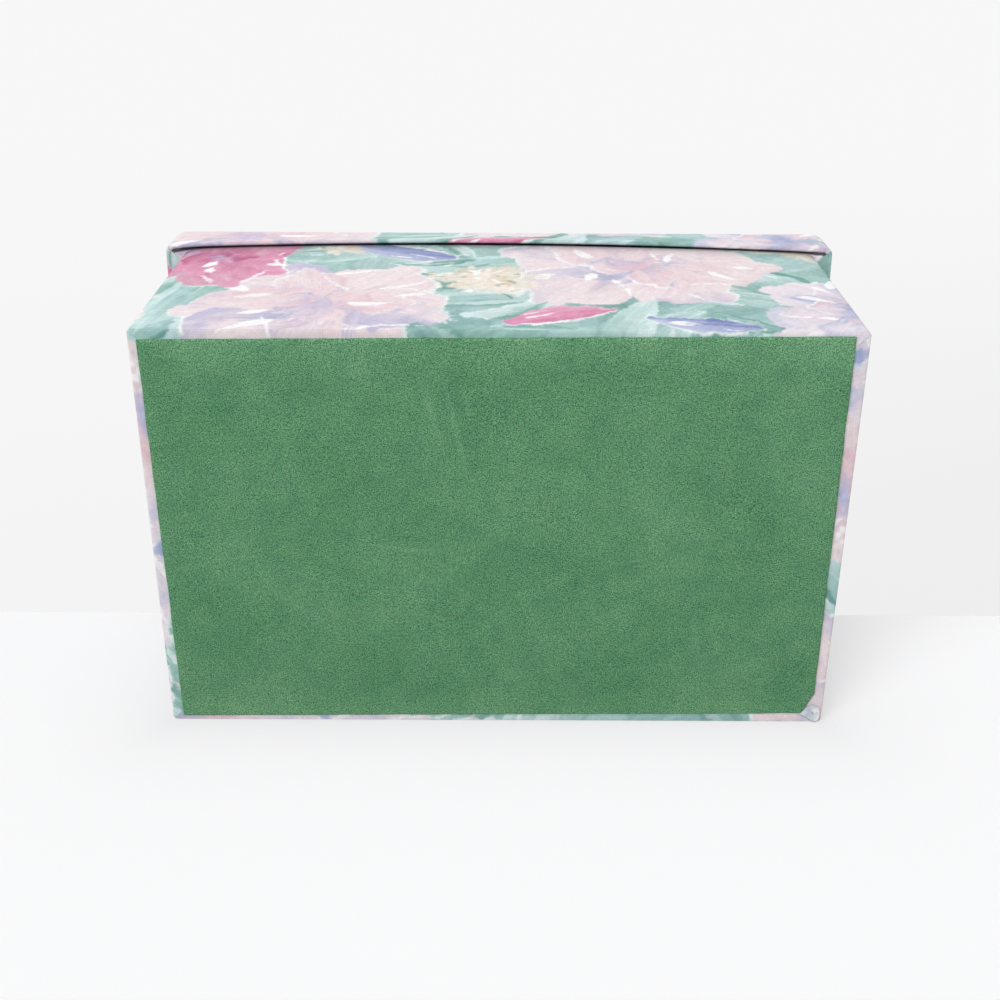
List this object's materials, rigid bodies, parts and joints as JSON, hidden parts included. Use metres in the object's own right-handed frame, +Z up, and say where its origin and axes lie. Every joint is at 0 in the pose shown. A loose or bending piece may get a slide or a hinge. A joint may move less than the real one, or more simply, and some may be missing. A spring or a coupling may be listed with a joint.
{
  "type": "jewelry chest",
  "caption": "Rectangular cloth-covered jewelry chest with a padded hinged lid, a sliding ring tray over an open well, and a felt pad under its base.",
  "frame": {"origin": "centre of the body's footprint, on the felt face that the chest stands on", "axes": "+X runs along the chest to its right, -Y is the front that the lid opens from, +Z is up"},
  "size_m": [0.2584, 0.1616, 0.1213],
  "materials": {
    "floral_cloth": "fine woven cotton print, pale pink, teal and lavender",
    "cloth_back": "pale backing cloth",
    "green_felt": "matt green felt with a short nap",
    "green_lining": "green flocked lining over card",
    "batting": "white batting",
    "chipboard": "grey-brown pressed board",
    "mirror_glass": "silvered glass",
    "gold_braid": "woven gold-coloured braid",
    "brass": "polished brass plate"
  },
  "bodies": {
    "box": {"body_cover": "floral_cloth", "felt_base_pad": "green_felt", "base_card": "chipboard", "bottom_board": "chipboard", "corner_fold": "cloth_back", "front_board": "chipboard", "back_board": "chipboard", "left_board": "chipboard", "right_board": "chipboard", "front_batting": "batting", "left_batting": "batting", "right_batting": "batting", "floor_lining": "green_lining", "front_lining": "green_lining", "back_lining": "green_lining", "left_lining": "green_lining", "right_lining": "green_lining", "front_ledge": "green_lining", "back_ledge": "green_lining", "left_hinge_body_leaf": "brass", "left_hinge_pin": "brass", "right_hinge_body_leaf": "brass", "right_hinge_pin": "brass", "body_leaf_screws": "brass"},
    "lid": {"lid_panel": "chipboard", "lid_front_rail": "chipboard", "lid_back_rail": "chipboard", "lid_left_rail": "chipboard", "lid_right_rail": "chipboard", "lid_padding": "batting", "lid_cover": "floral_cloth", "lid_lining": "green_lining", "lid_rail_lining": "green_lining", "lid_mirror": "mirror_glass", "mirror_trim": "gold_braid", "left_hinge_lid_leaf": "brass", "right_hinge_lid_leaf": "brass", "lid_leaf_screws": "brass"},
    "tray": {"tray_floor": "green_lining", "tray_front_wall": "green_lining", "tray_back_wall": "green_lining", "tray_left_wall": "green_lining", "tray_right_wall": "green_lining", "tray_long_divider": "green_lining", "tray_short_divider": "green_lining", "ring_roll_1": "green_lining", "ring_roll_2": "green_lining", "ring_roll_3": "green_lining", "ring_roll_4": "green_lining", "ring_roll_5": "green_lining"}
  },
  "joints": [
    {"name": "lid_hinge", "type": "hinge", "parent": "box", "child": "lid", "pos_m": [0, 0.07875, 0.0905], "axis": [-1, 0, 0], "range_deg": [0, 100]},
    {"name": "tray_slide", "type": "slide", "parent": "box", "child": "tray", "axis": [1, 0, 0], "range_m": [0, 0.1109]}
  ]
}
